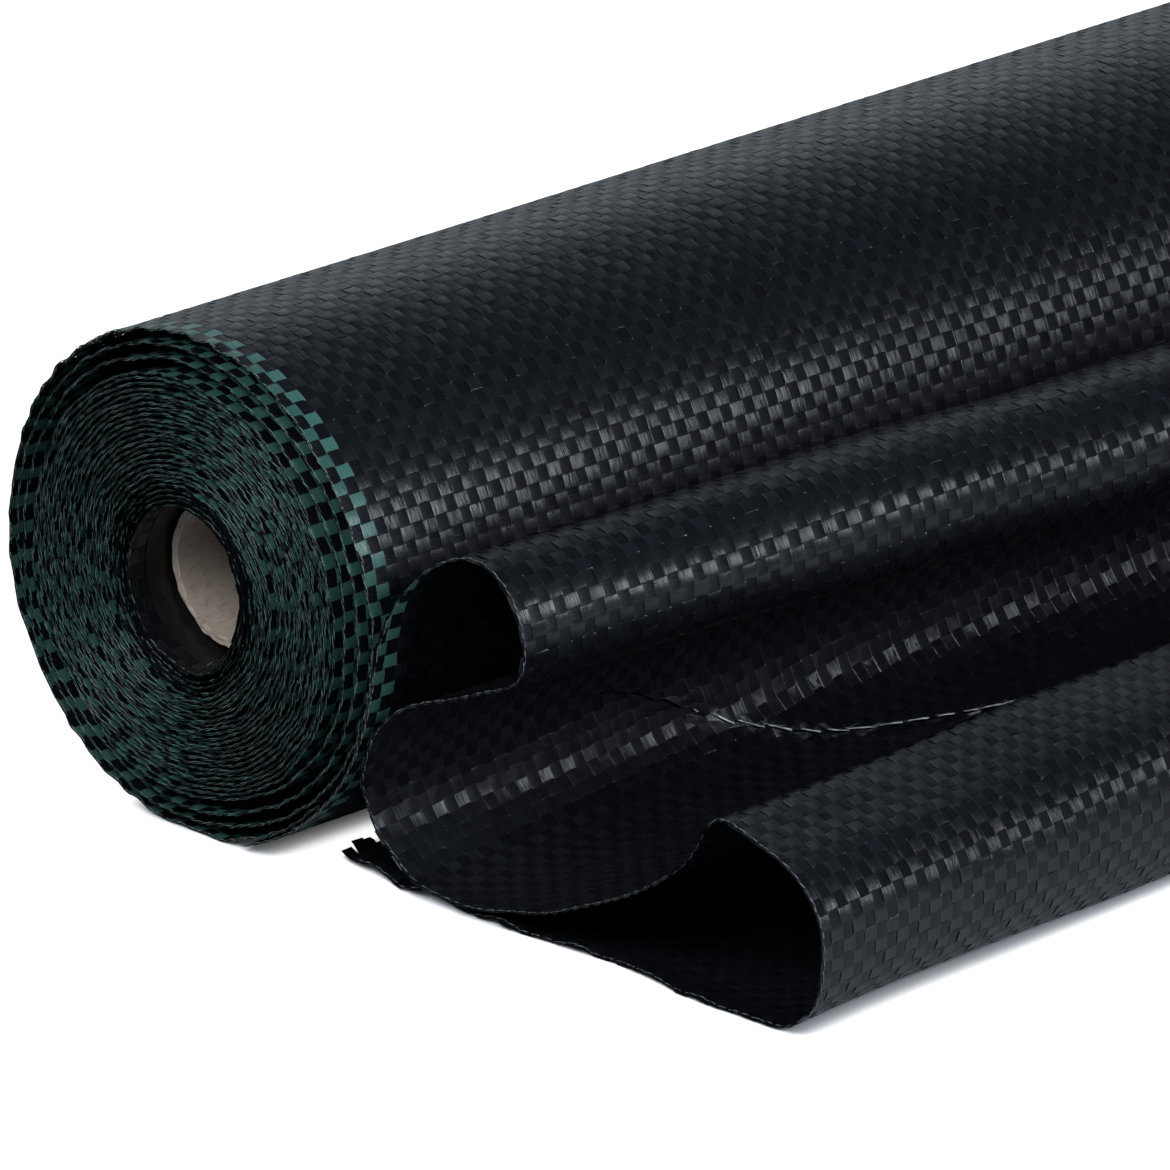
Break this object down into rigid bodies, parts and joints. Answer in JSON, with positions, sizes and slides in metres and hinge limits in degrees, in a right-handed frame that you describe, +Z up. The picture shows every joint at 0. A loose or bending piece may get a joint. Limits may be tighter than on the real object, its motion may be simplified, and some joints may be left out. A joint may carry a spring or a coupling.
{
  "type": "roll of landscape fabric",
  "caption": "Roll of black woven landscape fabric with green marker tapes, wound on a cardboard core, its loose end lying beside it in two soft folds.",
  "frame": {"origin": "on the floor, under the middle of the whole object's box", "axes": "+Y along the roll's axis, from the end with the marker tapes to the other; +X towards the loose end; +Z up"},
  "size_m": [0.2086, 0.314, 0.0973],
  "materials": {
    "black_weave": "woven flat plastic tapes, semi-gloss",
    "green_tape": "woven flat plastic tapes, semi-gloss",
    "cardboard": "raw paper board, matt, fibrous cut rim"
  },
  "bodies": {
    "laid_out_end": {"loose_end": "black_weave", "loose_end_marker_tapes": "green_tape"},
    "roll": {"cardboard_core": "cardboard", "wound_fabric": "black_weave", "wound_marker_tapes": "green_tape"}
  },
  "joints": [
    {"name": "roll_turn", "type": "hinge", "parent": "laid_out_end", "child": "roll", "pos_m": [-0.05547, 0, 0.0485], "axis": [0, 1, 0], "continuous": true}
  ]
}
